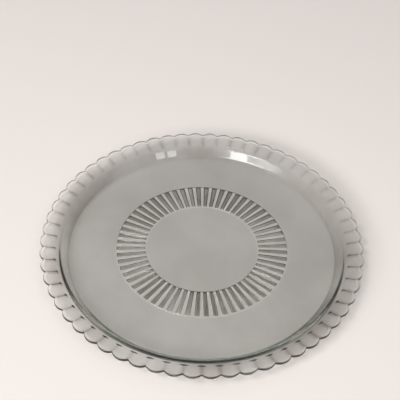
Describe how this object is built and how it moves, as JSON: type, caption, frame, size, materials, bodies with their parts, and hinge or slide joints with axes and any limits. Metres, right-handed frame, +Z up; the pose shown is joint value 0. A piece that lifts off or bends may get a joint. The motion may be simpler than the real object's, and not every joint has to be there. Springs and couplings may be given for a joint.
{
  "type": "glass platter",
  "caption": "Round pressed-glass serving platter with a flat floor, a ring of radial ribs in the middle, a low sloping wall and a scalloped rim.",
  "frame": {"origin": "centre of the underside, on the surface that the platter stands on", "axes": "+Z up along the platter's axis; +X through the middle of one scallop"},
  "size_m": [0.31, 0.31, 0.017],
  "materials": {
    "glass": "clear pressed glass, polished, with a faint green tint in its depth"
  },
  "bodies": {
    "root": {"centre_disc": "glass", "ribbed_ring": "glass", "well_floor": "glass", "side_wall": "glass", "scalloped_rim": "glass"}
  },
  "joints": []
}
